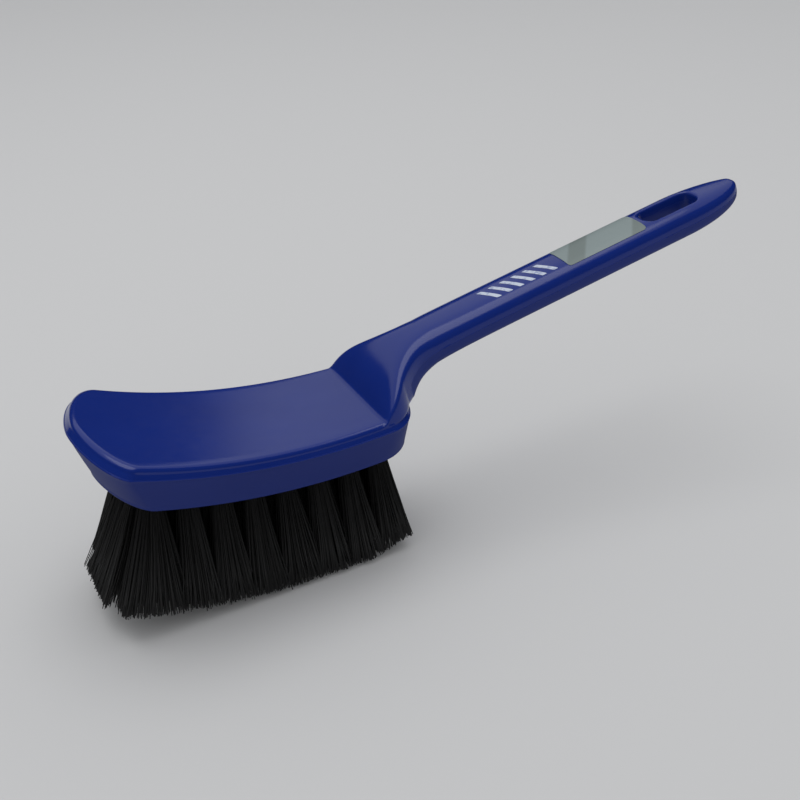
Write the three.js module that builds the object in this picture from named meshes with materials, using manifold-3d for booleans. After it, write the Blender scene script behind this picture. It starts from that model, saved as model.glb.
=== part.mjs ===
// A hand brush for scrubbing tyre walls, in millimetres, +Z up, standing on its bristle tips.
//
// The head is curved along its length: its top face, its underside and the trimmed bristle tips
// are arcs about one line that runs across the brush above it. A place on the head is given as
// (along, across, depth): along the top face from its front end, across from the middle, and
// below the top face. The neck and the handle are lofted about a straight axis of their own.
import * as THREE from "three";
import { mergeVertices } from "three/addons/utils/BufferGeometryUtils.js";
import Module from "manifold-3d";

const wasm = await Module();
wasm.setup();

// Head block
const HEAD_LENGTH = 111.5;
const HEAD_FRONT_WIDTH = 61.5;
const HEAD_REAR_WIDTH = 47.7;
const HEAD_THICKNESS = 16.9;
const TOP_FACE_RADIUS = 220;
const TOP_EDGE_ROUND = 1.8;
const RIM_HEIGHT = 3.4;
const RIM_DRAFT = 0.8;
const FRONT_END_ROUND = 12.5;
const FRONT_END_FULLNESS = 1.65;
const FRONT_LIFT = 0.9;
const FRONT_LIFT_LENGTH = 58;
const REAR_END_ROUND = 13.3;
const REAR_END_FULLNESS = 2.3;
const UNDERCUT_SIDE = 5;
const UNDERCUT_FRONT = 9.7;
const UNDERCUT_REAR = 2.3;
const UNDERSIDE_EDGE = 1.2;
const HEAD_STATIONS = 24;

// Neck and handle. The handle's axis starts above the rear end of the head.
const HANDLE_LENGTH = 146;
const HANDLE_WIDTH = 19.9;
const HANDLE_THICKNESS = 12;
const HANDLE_FULLNESS = 2.9;
const HANDLE_RISE = 9.5;
const HANDLE_TILT = 5.8;
const HANDLE_END_ROUND = 27;
const HANDLE_END_THICKNESS = 7;
const HANDLE_TIP_FLAT = 0.08;
const RAMP_START = 17;
const RAMP_LENGTH = 38;
const RAMP_POWER = 3;
const RAMP_SINK = 3;
const NECK_LENGTH = 30;
const NECK_POWER = 3.2;
const NECK_SIDE_MARGIN = 0.9;
const NECK_FULLNESS = 7.4;
const NECK_FOOT_MARGIN = 1.2;
const NECK_HEEL = 5.6;
const NECK_HEEL_LENGTH = 7.4;
const NECK_STATIONS = 12;
const GRIP_STATIONS = 6;
const END_STATIONS = 7;
const SECTION_POINTS = 20;

// Hanging slot, right through the handle
const SLOT_LENGTH = 22.5;
const SLOT_WIDTH = 9.5;
const SLOT_CORNER = 3.5;
const SLOT_FROM_END = 18.5;
const SLOT_CORNER_STEPS = 2;

// Label film on top of the handle
const LABEL_LENGTH = 33;
const LABEL_WIDTH = 14;
const LABEL_THICKNESS = 0.3;
const LABEL_GAP = 0.2;
const LABEL_FROM_SLOT = 2.5;
const LABEL_STRIPS = 10;

// Bristles: rows of tufts, each in its own hole. Tilts are from upright, towards the front, in degrees.
const ROW_TUFTS = [8, 9, 9, 8];
const FRONT_END_MARGIN = 13.1;
const REAR_END_MARGIN = 9.8;
const FRONT_SIDE_MARGIN = 10.3;
const REAR_SIDE_MARGIN = 6.4;
const REAR_ROW_INSET = 1.8;
const BRISTLE_LENGTH = 39.6;
const SIDE_SPLAY = 4.5;
const FRONT_TILT = 4;
const REAR_TILT = -5;
const FRONT_END_LEAN = 14;
const FRONT_CORNER_LEAN = 8;
const REAR_END_LEAN = 3;
const TRIM_SHIFT = 9.3;
const TIP_FLAT = 0.5;
const BALANCE_POINT = 87;
const HOLE_RADIUS = 3;
const HOLE_FLOOR = 4.5;
const HOLE_SIDES = 8;
const STRAND_RINGS = [
  { count: 4, rootRadius: 1 },
  { count: 8, rootRadius: 2.15 },
];
const STRAND_ROOT_RADIUS = 0.42;
const STRAND_TIP_RADIUS = 0.75;
const STRAND_SIDES = 3;
const STRAND_GAP = 0.4;

// Strip of the underside that each row of tufts is fused to
const STRIP_SIDE_MARGIN = 0.5;
const STRIP_END_MARGIN = 1.2;
const STRIP_THICKNESS = 2.5;
const STRIP_STATIONS = 9;
const STRIP_END_STEPS = [0.15, 0.5, 1];

// Anchor wire across the fold of each tuft, biting into both sides of its hole
const ANCHOR_BITE = 1;
const ANCHOR_HEIGHT = 2;
const ANCHOR_THICKNESS = 0.6;
const ANCHOR_FROM_FLOOR = 2.2;

// Gap between pieces that fit, how far a cutter reaches past the face that it cuts, and the
// distance within which corners count as one
const CLEARANCE = 0.3;
const CUT_PAST = 1;
const SAME_CORNER = 1e-4;

const radians = THREE.MathUtils.degToRad;
const lerp = THREE.MathUtils.lerp;
const clamp = THREE.MathUtils.clamp;

const plasticBlue = new THREE.MeshStandardMaterial({ color: "#1d2f7c", roughness: 0.3, metalness: 0 });
const filamentBlack = new THREE.MeshStandardMaterial({ color: "#17171a", roughness: 0.6, metalness: 0 });
const anchorBrass = new THREE.MeshStandardMaterial({ color: "#b79a55", roughness: 0.4, metalness: 1 });
const labelFilm = new THREE.MeshStandardMaterial({ color: "#b9c1b8", roughness: 0.5, metalness: 0 });

const HOLE_DEPTH = HEAD_THICKNESS - HOLE_FLOOR;

// The trim arc's centre is straight above its lowest point, where the brush stands. The head's
// arcs have theirs a little further back, so the bristles are longer at the front of the head.
const TRIM_RADIUS = TOP_FACE_RADIUS + HEAD_THICKNESS + BRISTLE_LENGTH;
const TRIM_CENTRE_Z = TRIM_RADIUS - TIP_FLAT;
const middleAngle = arcAngle(HEAD_LENGTH / 2);
const ARC_CENTRE_X = TRIM_SHIFT * Math.cos(middleAngle);
const ARC_CENTRE_Z = TRIM_CENTRE_Z + TRIM_SHIFT * Math.sin(middleAngle);

// Angle about the arc's centre, from straight down, of a place along the head.
function arcAngle(along) {
  return (along - BALANCE_POINT) / TOP_FACE_RADIUS;
}

function headPoint(along, across, depth) {
  const angle = arcAngle(along);
  const radius = TOP_FACE_RADIUS + depth;
  const x = ARC_CENTRE_X + radius * Math.sin(angle);
  const z = ARC_CENTRE_Z - radius * Math.cos(angle);
  return new THREE.Vector3(x, across, z);
}

// Closed skin over a run of rings with equal counts of points, capped at the first and last ring.
// Each cap zigzags between the two halves of its ring, which mirror each other about point 0.
function loft(rings) {
  const count = rings[0].length;
  const triangles = [];
  const face = (...corners) => {
    if (new Set(corners).size === 3) triangles.push(...corners);
  };
  for (let ring = 0; ring + 1 < rings.length; ring++) {
    for (let i = 0; i < count; i++) {
      const a = ring * count + i;
      const b = ring * count + ((i + 1) % count);
      face(a, b, b + count);
      face(a, b + count, a + count);
    }
  }
  const last = (rings.length - 1) * count;
  for (let low = 0, high = count - 1; high - low > 1; ) {
    face(low, high, low + 1);
    face(last + low, last + low + 1, last + high);
    low++;
    if (high - low > 1) {
      face(low, high, high - 1);
      face(last + low, last + high - 1, last + high);
    }
    high--;
  }
  const geometry = new THREE.BufferGeometry();
  geometry.setFromPoints(rings.flat());
  geometry.setIndex(triangles);
  return geometry;
}

// Solid of a closed geometry, with its shared corners merged and its faces turned outwards.
function toSolid(geometry) {
  const bare = geometry.clone();
  bare.deleteAttribute("normal");
  bare.deleteAttribute("uv");
  const merged = mergeVertices(bare, SAME_CORNER);
  const index = merged.index.array;
  const corner = (i) => new THREE.Vector3().fromBufferAttribute(merged.attributes.position, index[i]);
  const triangles = [];
  let volume = 0;
  for (let i = 0; i < index.length; i += 3) {
    const [a, b, c] = index.slice(i, i + 3);
    if (a !== b && b !== c && c !== a) triangles.push(a, b, c);
    volume += corner(i).dot(corner(i + 1).cross(corner(i + 2)));
  }
  if (volume < 0) triangles.reverse();
  return new wasm.Manifold(
    new wasm.Mesh({
      numProp: 3,
      vertProperties: new Float32Array(merged.attributes.position.array),
      triVerts: new Uint32Array(triangles),
    }),
  );
}

function toMesh(solid, name, material) {
  const shape = solid.getMesh();
  const geometry = new THREE.BufferGeometry();
  geometry.setAttribute("position", new THREE.BufferAttribute(shape.vertProperties, shape.numProp));
  geometry.setIndex(new THREE.BufferAttribute(shape.triVerts, 1));
  geometry.computeVertexNormals();
  const mesh = new THREE.Mesh(geometry, material.clone());
  mesh.name = name;
  return mesh;
}

function join(solids) {
  return solids.reduce((whole, solid) => whole.add(solid));
}

// Half-width share of a rounded end: 0 at the tip, 1 from the end of the round.
function endShare(distance, round, fullness) {
  const t = clamp(distance / round, 0, 1);
  return (1 - (1 - t) ** fullness) ** (1 / fullness);
}

function headHalfWidth(along) {
  return lerp(HEAD_FRONT_WIDTH, HEAD_REAR_WIDTH, along / HEAD_LENGTH) / 2;
}

// Half-width of the rim towards its rounded rear end.
function rearHalfWidth(along) {
  return headHalfWidth(along) * endShare(HEAD_LENGTH - along, REAR_END_ROUND, REAR_END_FULLNESS);
}

// How far the top face turns up towards the front end.
function frontLift(along) {
  return FRONT_LIFT * clamp(1 - along / FRONT_LIFT_LENGTH, 0, 1) ** 2;
}

// Outline of the head at one depth, drawn in from the rim, from the front tip round both sides.
function headRing(depth, front, rear, side, lifted = true) {
  const last = HEAD_LENGTH - rear;
  const half = (along) => {
    const frontEnd = endShare(along - front, FRONT_END_ROUND, FRONT_END_FULLNESS);
    const rearEnd = endShare(last - along, REAR_END_ROUND, REAR_END_FULLNESS);
    return (headHalfWidth(along) - side) * frontEnd * rearEnd;
  };
  const point = (along, across) => headPoint(along, across, depth - (lifted ? frontLift(along) : 0));
  const stations = Array.from({ length: HEAD_STATIONS + 1 }, (_, i) => {
    const share = (1 - Math.cos((Math.PI * i) / HEAD_STATIONS)) / 2;
    return lerp(front, last, share);
  });
  const inner = stations.slice(1, -1);
  return [
    point(front, 0),
    ...inner.map((along) => point(along, half(along))),
    point(last, 0),
    ...inner.reverse().map((along) => point(along, -half(along))),
  ];
}

// Head block: rounded top edge, a rim at a draft, then sides that draw in to the underside.
function headSolid() {
  const edge = TOP_EDGE_ROUND;
  const draft = RIM_DRAFT;
  const shoulder = edge * (1 - Math.SQRT1_2);
  const foot = UNDERSIDE_EDGE;
  return toSolid(
    loft([
      headRing(0, draft + edge, draft + edge, draft + edge),
      headRing(shoulder, draft + shoulder, draft + shoulder, draft + shoulder),
      headRing(edge, draft, draft, draft),
      headRing(RIM_HEIGHT, 0, 0, 0, false),
      headRing(HEAD_THICKNESS - foot, UNDERCUT_FRONT, UNDERCUT_REAR, UNDERCUT_SIDE, false),
      headRing(HEAD_THICKNESS, UNDERCUT_FRONT + foot, UNDERCUT_REAR + foot, UNDERCUT_SIDE + foot, false),
    ]),
  );
}

// The handle's own frame: its axis along x from above the head's rear end, z out of its top.
const handleAngle = arcAngle(HEAD_LENGTH) + radians(HANDLE_TILT);
const handlePlace = new THREE.Matrix4()
  .makeRotationY(-handleAngle)
  .setPosition(headPoint(HEAD_LENGTH, 0, -HANDLE_RISE));

// Share of the full width left at the rounded end of the handle.
function handleEnd(x) {
  const t = clamp((x - HANDLE_LENGTH + HANDLE_END_ROUND) / HANDLE_END_ROUND, 0, 1);
  return Math.sqrt(1 - t * t);
}

function neckShare(x) {
  return clamp((x + RAMP_START) / NECK_LENGTH, 0, 1);
}

function handleSection(x) {
  const end = handleEnd(x);
  const neck = neckShare(x);
  const neckHalf = headHalfWidth(HEAD_LENGTH - RAMP_START) - NECK_SIDE_MARGIN;
  const ramp = 1 - clamp((x + RAMP_START) / RAMP_LENGTH, 0, 1);
  const rampHeight = HANDLE_THICKNESS / 2 + HANDLE_RISE;
  const thickness = lerp(HANDLE_END_THICKNESS, HANDLE_THICKNESS, end);
  const heel = NECK_HEEL * Math.exp(-Math.max(x, 0) / NECK_HEEL_LENGTH);
  const top = HANDLE_THICKNESS / 2 - rampHeight * ramp ** RAMP_POWER;
  return {
    half: lerp(HANDLE_WIDTH / 2, neckHalf, (1 - neck * neck) ** NECK_POWER) * end,
    top,
    bottom: Math.min(HANDLE_THICKNESS / 2 - thickness - heel, top - RAMP_SINK),
    fullness: lerp(NECK_FULLNESS, HANDLE_FULLNESS, neck),
  };
}

// Rounded-rectangle ring across the handle, a superellipse between its top and its underside. Over
// the head its sides spread downwards, from the neck's own width at the top to the head's rim.
function handleRing(x) {
  const { half, top, bottom, fullness } = handleSection(x);
  const foot = Math.max(half, rearHalfWidth(Math.min(HEAD_LENGTH + x, HEAD_LENGTH)) - NECK_FOOT_MARGIN);
  const spread = (up) => lerp(foot, half, clamp((up + HANDLE_RISE) / (top + HANDLE_RISE), 0, 1));
  const soften = (value) => Math.sign(value) * Math.abs(value) ** (2 / fullness);
  return Array.from({ length: SECTION_POINTS }, (_, i) => {
    const angle = (2 * Math.PI * i) / SECTION_POINTS;
    const up = lerp(bottom, top, (1 + soften(Math.sin(angle))) / 2);
    const across = (top > -HANDLE_RISE ? spread(up) : half) * soften(Math.cos(angle));
    return new THREE.Vector3(x, across, up).applyMatrix4(handlePlace);
  });
}

// Height of the handle's top above its axis, at a place across it.
function handleTop(x, across) {
  const { half, top, bottom, fullness } = handleSection(x);
  const crown = (1 - (Math.abs(across) / half) ** fullness) ** (1 / fullness);
  return lerp((top + bottom) / 2, top, crown);
}

// Even run of stations from one place to another, without the last.
function run(from, to, steps) {
  return Array.from({ length: steps }, (_, i) => lerp(from, to, i / steps));
}

// Neck and handle, from inside the head through the ramp to the rounded end.
function handleSolid() {
  const neckEnd = NECK_LENGTH - RAMP_START;
  const gripEnd = HANDLE_LENGTH - HANDLE_END_ROUND;
  const ends = Array.from({ length: END_STATIONS }, (_, i) => {
    return gripEnd + HANDLE_END_ROUND * Math.sin((Math.PI / 2) * (i / END_STATIONS));
  });
  const stations = [
    ...run(-RAMP_START - RAMP_SINK, neckEnd, NECK_STATIONS),
    ...run(neckEnd, gripEnd, GRIP_STATIONS),
    ...ends,
    HANDLE_LENGTH - HANDLE_TIP_FLAT,
  ];
  return toSolid(loft(stations.map(handleRing)));
}

// Slot outline with round corners, pushed right through the handle.
function slotSolid() {
  const centre = HANDLE_LENGTH - SLOT_FROM_END - SLOT_LENGTH / 2;
  const x = SLOT_LENGTH / 2 - SLOT_CORNER;
  const y = SLOT_WIDTH / 2 - SLOT_CORNER;
  const outline = new THREE.Shape();
  outline.absarc(x, y, SLOT_CORNER, 0, Math.PI / 2);
  outline.absarc(-x, y, SLOT_CORNER, Math.PI / 2, Math.PI);
  outline.absarc(-x, -y, SLOT_CORNER, Math.PI, 1.5 * Math.PI);
  outline.absarc(x, -y, SLOT_CORNER, 1.5 * Math.PI, 2 * Math.PI);
  const depth = HANDLE_THICKNESS + 2 * CUT_PAST;
  const geometry = new THREE.ExtrudeGeometry(outline, {
    depth,
    bevelEnabled: false,
    curveSegments: SLOT_CORNER_STEPS,
  });
  geometry.translate(centre, 0, -depth / 2);
  return toSolid(geometry.applyMatrix4(handlePlace));
}

// Label film that follows the crown of the handle, between the grip and the slot.
function labelSolid() {
  const end = HANDLE_LENGTH - SLOT_FROM_END - SLOT_LENGTH - LABEL_FROM_SLOT;
  const ring = (x) => {
    const edge = (across, lift) => new THREE.Vector3(x, across, handleTop(x, across) + lift);
    const places = Array.from({ length: LABEL_STRIPS + 1 }, (_, i) => LABEL_WIDTH * (i / LABEL_STRIPS - 0.5));
    const under = places.map((across) => edge(across, LABEL_GAP));
    const over = places.map((across) => edge(across, LABEL_GAP + LABEL_THICKNESS));
    return [...under, ...over.reverse()].map((point) => point.applyMatrix4(handlePlace));
  };
  return toSolid(loft([ring(end - LABEL_LENGTH), ring(end)]));
}

// Where each tuft stands. The outer rows end sooner, as the head's rear corners are round. The holes
// fan steadily along the head, and the bristles at both ends, with none beside them, spread outwards.
const firstTuft = UNDERCUT_FRONT + UNDERSIDE_EDGE + FRONT_END_MARGIN;
const lastTuft = HEAD_LENGTH - UNDERCUT_REAR - UNDERSIDE_EDGE - REAR_END_MARGIN;
const rowGaps = ROW_TUFTS.length - 1;

// How far out the outer rows stand. The rows fan out a little to the front, as the head widens.
function outerRow(along) {
  const margin = lerp(FRONT_SIDE_MARGIN, REAR_SIDE_MARGIN, along / HEAD_LENGTH);
  return headHalfWidth(along) - UNDERCUT_SIDE - margin;
}

// How many times a tuft widens from root to tip, along and across, until it just clears the next.
function flare(along, pitch, endReach) {
  const fan = (radians(FRONT_TILT - REAR_TILT) * pitch) / (lastTuft - firstTuft);
  const halfAlong = (pitch + BRISTLE_LENGTH * Math.tan(fan)) / 2 + Math.abs(endReach);
  const tipOuterRow = outerRow(along + pitch / 2) + BRISTLE_LENGTH * Math.tan(radians(SIDE_SPLAY));
  const rootRadius = Math.max(...STRAND_RINGS.map((ring) => ring.rootRadius));
  return [halfAlong, tipOuterRow / rowGaps].map((half) => {
    return (half - STRAND_TIP_RADIUS - STRAND_GAP / 2) / rootRadius;
  });
}

// Each row's share of the way out to an outer row, from -1 to 1, where it starts and ends, and its tufts.
const rows = ROW_TUFTS.map((count, row) => {
  const share = (2 * row) / rowGaps - 1;
  const first = firstTuft;
  const last = lastTuft - REAR_ROW_INSET * share * share;
  const pitch = (last - first) / (count - 1);
  const frontLean = lerp(FRONT_END_LEAN, FRONT_CORNER_LEAN, share * share);
  const tufts = Array.from({ length: count }, (_, i) => {
    const along = first + pitch * i;
    const endLean = i === 0 ? frontLean : i === count - 1 ? -REAR_END_LEAN : 0;
    const endReach = BRISTLE_LENGTH * Math.tan(radians(endLean));
    const tilt = lerp(FRONT_TILT, REAR_TILT, (along - firstTuft) / (lastTuft - firstTuft));
    const turn = new THREE.Euler(radians(SIDE_SPLAY) * share, radians(tilt), 0, "YXZ");
    const place = new THREE.Matrix4().makeRotationFromEuler(turn);
    place.setPosition(headPoint(along, share * outerRow(along), HEAD_THICKNESS));
    return { name: `${row + 1}_${i + 1}`, place, turn, endReach, widening: flare(along, pitch, endReach) };
  });
  return { share, first, last, tufts };
});

// Upright prism in a tuft's own frame, where z = 0 is the underside and +z runs up the hole.
function tuftPrism(radius, from, to, place) {
  const geometry = new THREE.CylinderGeometry(radius, radius, to - from, HOLE_SIDES);
  geometry.rotateX(Math.PI / 2).translate(0, 0, (from + to) / 2);
  return toSolid(geometry.applyMatrix4(place));
}

const anchorCentre = HOLE_DEPTH - ANCHOR_FROM_FLOOR - ANCHOR_HEIGHT / 2;

// Block for an anchor wire, or for the room around it, in a tuft's frame.
function anchorBox(room) {
  const grow = 2 * room;
  const length = 2 * (HOLE_RADIUS + ANCHOR_BITE);
  const box = new THREE.BoxGeometry(length + grow, ANCHOR_THICKNESS + grow, ANCHOR_HEIGHT + grow);
  return box.translate(0, 0, anchorCentre);
}

// Curved strip of the underside along one row, with round ends, and with room round it where it is
// cut from the head.
function stripSolid({ share, first, last }, room) {
  const reach = (HOLE_RADIUS + STRIP_END_MARGIN) / (1 + HEAD_THICKNESS / TOP_FACE_RADIUS) + room;
  const half = HOLE_RADIUS + STRIP_SIDE_MARGIN + room;
  const below = room > 0 ? CUT_PAST : 0;
  const from = first - reach;
  const to = last + reach;
  const stations = [
    ...STRIP_END_STEPS.map((step) => from + step * half),
    ...run(from + half, to - half, STRIP_STATIONS).slice(1),
    ...STRIP_END_STEPS.toReversed().map((step) => to - step * half),
  ];
  const width = (along) => half * endShare(Math.min(along - from, to - along), half, 2);
  const ring = (depth) => {
    const point = (along, side) => headPoint(along, share * outerRow(along) + side * width(along), depth);
    return [
      point(from, 0),
      ...stations.map((along) => point(along, 1)),
      point(to, 0),
      ...stations.toReversed().map((along) => point(along, -1)),
    ];
  };
  return toSolid(loft([ring(HEAD_THICKNESS - STRIP_THICKNESS - room), ring(HEAD_THICKNESS + below)]));
}

// Point where a bristle's edge meets the trim: the tip arc, or the flat that the brush stands on.
function trimmed(root, tip) {
  const step = tip.clone().sub(root);
  const x = root.x;
  const z = root.z - TRIM_CENTRE_Z;
  const a = step.x * step.x + step.z * step.z;
  const b = x * step.x + z * step.z;
  const c = x * x + z * z - TRIM_RADIUS * TRIM_RADIUS;
  const toArc = (-b + Math.sqrt(b * b - a * c)) / a;
  const toFlat = -root.z / step.z;
  return root.clone().addScaledVector(step, Math.min(toArc, toFlat));
}

// One bristle strand: it starts inside the strip and leans outwards as far as its root is off centre.
function strandSolid(angle, rootRadius, { place, endReach, widening }) {
  const x = rootRadius * Math.cos(angle);
  const y = rootRadius * Math.sin(angle);
  const corner = (i, centreX, centreY, radius, height) => {
    const turn = angle + (2 * Math.PI * i) / STRAND_SIDES;
    const point = new THREE.Vector3(radius * Math.cos(turn), radius * Math.sin(turn), height);
    return point.add(new THREE.Vector3(centreX, centreY, 0)).applyMatrix4(place);
  };
  const sides = Array.from({ length: STRAND_SIDES }, (_, i) => i);
  const roots = sides.map((i) => corner(i, x, y, STRAND_ROOT_RADIUS, STRIP_THICKNESS / 2));
  const tips = sides.map((i) => {
    return corner(i, x * widening[0] - endReach, y * widening[1], STRAND_TIP_RADIUS, -BRISTLE_LENGTH);
  });
  return toSolid(loft([roots, roots.map((root, i) => trimmed(root, tips[i]))]));
}

// One row: its strip, the root of each tuft up in its hole round the anchor, and the strands.
function rowSolid(row) {
  const tufts = row.tufts.map((tuft) => {
    const { place } = tuft;
    const top = HOLE_DEPTH - CLEARANCE;
    const root = tuftPrism(HOLE_RADIUS - CLEARANCE, STRIP_THICKNESS / 2, top, place);
    const threaded = root.subtract(toSolid(anchorBox(CLEARANCE).applyMatrix4(place)));
    const strands = STRAND_RINGS.flatMap(({ count, rootRadius }) => {
      return run(0, 2 * Math.PI, count).map((angle) => strandSolid(angle, rootRadius, tuft));
    });
    return join([threaded, ...strands]);
  });
  return join([stripSolid(row, 0), ...tufts]);
}

// Room in the head for the tufts: a groove for each strip, a blind hole and a bite for each anchor.
function tuftRoom() {
  const tufts = rows.flatMap((row) => row.tufts);
  const holes = tufts.map(({ place }) => tuftPrism(HOLE_RADIUS, STRIP_THICKNESS / 2, HOLE_DEPTH, place));
  const bites = tufts.map(({ place }) => toSolid(anchorBox(CLEARANCE).applyMatrix4(place)));
  return join([...rows.map((row) => stripSolid(row, CLEARANCE)), ...holes, ...bites]);
}

const brush = new THREE.Group();
const block = headSolid().add(handleSolid()).subtract(slotSolid()).subtract(tuftRoom());
brush.add(toMesh(block, "handle_block", plasticBlue));
rows.forEach((row, i) => brush.add(toMesh(rowSolid(row), `tuft_row_${i + 1}`, filamentBlack)));
for (const { name, place, turn } of rows.flatMap((row) => row.tufts)) {
  const wire = new THREE.Mesh(anchorBox(0), anchorBrass.clone());
  wire.name = `anchor_wire_${name}`;
  wire.rotation.copy(turn);
  wire.position.setFromMatrixPosition(place);
  brush.add(wire);
}
brush.add(toMesh(labelSolid(), "handle_label", labelFilm));

// The origin is under the middle of the brush, on the surface that it stands on.
const box = new THREE.Box3().setFromObject(brush, true);
brush.position.x = -(box.min.x + box.max.x) / 2;

export default brush;
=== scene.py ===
"""A hand brush for scrubbing tyre walls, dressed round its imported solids. Sizes are in millimetres,
and what is handed to Blender as it stands, such as the lamp and the weld distances, is in metres."""
import math

import bmesh
import bpy
import numpy as np
from mathutils import Matrix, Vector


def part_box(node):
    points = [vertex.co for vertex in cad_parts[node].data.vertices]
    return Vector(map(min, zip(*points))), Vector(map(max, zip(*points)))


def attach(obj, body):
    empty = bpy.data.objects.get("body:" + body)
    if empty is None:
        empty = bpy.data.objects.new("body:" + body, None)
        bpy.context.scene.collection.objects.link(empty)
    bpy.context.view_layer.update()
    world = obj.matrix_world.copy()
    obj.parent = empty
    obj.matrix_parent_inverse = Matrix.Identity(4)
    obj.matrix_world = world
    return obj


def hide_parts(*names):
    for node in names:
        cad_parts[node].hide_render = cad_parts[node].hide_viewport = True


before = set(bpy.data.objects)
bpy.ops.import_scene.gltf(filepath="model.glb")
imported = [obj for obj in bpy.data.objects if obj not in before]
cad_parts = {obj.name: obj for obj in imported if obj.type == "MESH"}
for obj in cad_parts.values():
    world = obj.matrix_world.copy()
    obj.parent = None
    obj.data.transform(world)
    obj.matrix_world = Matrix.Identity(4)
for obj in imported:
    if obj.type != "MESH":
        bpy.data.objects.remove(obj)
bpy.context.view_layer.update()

# Handle block: head, neck and handle are one injection moulding in blue polypropylene. The two
# mould halves meet at the widest line of the head and halfway up the handle, where they leave a
# fine ridge. The slot is cored out by the mould, and the tuft holes are drilled from below.
MM = 0.001
HEAD_LENGTH = 111.5
HEAD_FRONT_WIDTH = 61.5
HEAD_REAR_WIDTH = 47.7
HEAD_THICKNESS = 16.9
TOP_EDGE_ROUND = 1.8
RIM_HEIGHT = 3.4
RIM_DRAFT = 0.8
FRONT_END_ROUND = 12.5
FRONT_END_FULLNESS = 1.65
FRONT_LIFT = 0.9
FRONT_LIFT_LENGTH = 58.0
REAR_END_ROUND = 13.3
REAR_END_FULLNESS = 2.3
UNDERCUT_SIDE = 5.0
UNDERCUT_FRONT = 9.7
UNDERCUT_REAR = 2.3
UNDERSIDE_EDGE = 1.2
PARTING_RIDGE = 0.1
RIDGE_DEPTHS = np.array([-0.25, -0.1, 0.1, 0.25])
FACE_POINTS = 10
EDGE_POINTS = 9
RIM_POINTS = 5
SIDE_POINTS = 11
FOOT_POINTS = 7
HEAD_STATIONS = 150

# The head is bent upwards along an arc that hangs over the circle to which the bristles are cut.
TOP_FACE_RADIUS = 220.0
BALANCE_POINT = 87.0
BRISTLE_LENGTH = 39.6
TRIM_SHIFT = 9.3
TIP_FLAT = 0.5
TRIM_RADIUS = TOP_FACE_RADIUS + HEAD_THICKNESS + BRISTLE_LENGTH
TRIM_CENTRE_Z = TRIM_RADIUS - TIP_FLAT
MIDDLE_ANGLE = (HEAD_LENGTH / 2 - BALANCE_POINT) / TOP_FACE_RADIUS
ARC_CENTRE_X = TRIM_SHIFT * math.cos(MIDDLE_ANGLE)
ARC_CENTRE_Z = TRIM_CENTRE_Z + TRIM_SHIFT * math.sin(MIDDLE_ANGLE)


def head_point(along, across, depth):
    """Place on the bent head: the angle from the balance point is along over the top face's
    radius, and the distance from the arc's centre is that radius plus the depth."""
    angle = (along - BALANCE_POINT) / TOP_FACE_RADIUS
    radius = TOP_FACE_RADIUS + depth
    x = ARC_CENTRE_X + radius * np.sin(angle)
    z = ARC_CENTRE_Z - radius * np.cos(angle)
    return np.stack(np.broadcast_arrays(x, across, z), -1)


def head_half_width(along):
    """Half the head's width, tapering straight from the front to the rear."""
    return (HEAD_FRONT_WIDTH + (HEAD_REAR_WIDTH - HEAD_FRONT_WIDTH) * along / HEAD_LENGTH) / 2


def end_share(distance, length, fullness):
    """Share of the full half-width at a distance from a rounded end: a superellipse's quarter."""
    t = np.clip(distance / length, 0, 1)
    return (1 - (1 - t) ** fullness) ** (1 / fullness)


def head_profile():
    """Half the head's section from the middle of the top to the middle of the underside, as rows:
    depth, inset at the front, rear and side, share of the half-width, and share of the front lift.
    The top edge is a quarter circle, the rim stands at a draft, then the side draws in straight."""
    inward = np.linspace(0, 1, FACE_POINTS + 1)[:-1]
    edge = np.linspace(0, math.pi / 2, EDGE_POINTS)
    rim = np.linspace(0, 1, RIM_POINTS + 2)[1:-1]
    ridge = PARTING_RIDGE * np.array([0, 1, 1, 0])
    side = np.linspace(0, 1, SIDE_POINTS + 2)[1:-1]
    foot = np.linspace(0, math.pi / 2, FOOT_POINTS)
    low = HEAD_THICKNESS - UNDERSIDE_EDGE
    depth = np.concatenate([
        np.zeros(FACE_POINTS),
        TOP_EDGE_ROUND * (1 - np.cos(edge)),
        TOP_EDGE_ROUND + (RIM_HEIGHT - TOP_EDGE_ROUND) * rim,
        RIM_HEIGHT + RIDGE_DEPTHS,
        RIM_HEIGHT + (low - RIM_HEIGHT) * side,
        low + UNDERSIDE_EDGE * np.sin(foot),
        np.full(FACE_POINTS, HEAD_THICKNESS),
    ])

    def inset(undercut):
        """How far each point of the section stands in from the widest line."""
        return np.concatenate([
            np.full(FACE_POINTS, RIM_DRAFT + TOP_EDGE_ROUND),
            RIM_DRAFT + TOP_EDGE_ROUND * (1 - np.sin(edge)),
            RIM_DRAFT * (1 - rim),
            -ridge,
            undercut * side,
            undercut + UNDERSIDE_EDGE * (1 - np.cos(foot)),
            np.full(FACE_POINTS, undercut + UNDERSIDE_EDGE),
        ])

    share = np.concatenate([inward, np.ones(len(depth) - 2 * FACE_POINTS), 1 - inward - 1 / FACE_POINTS])
    lift = np.clip((RIM_HEIGHT - depth) / (RIM_HEIGHT - TOP_EDGE_ROUND), 0, 1)
    insets = [inset(UNDERCUT_FRONT), inset(UNDERCUT_REAR), inset(UNDERCUT_SIDE)]
    return np.stack([depth, *insets, share, lift])


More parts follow.
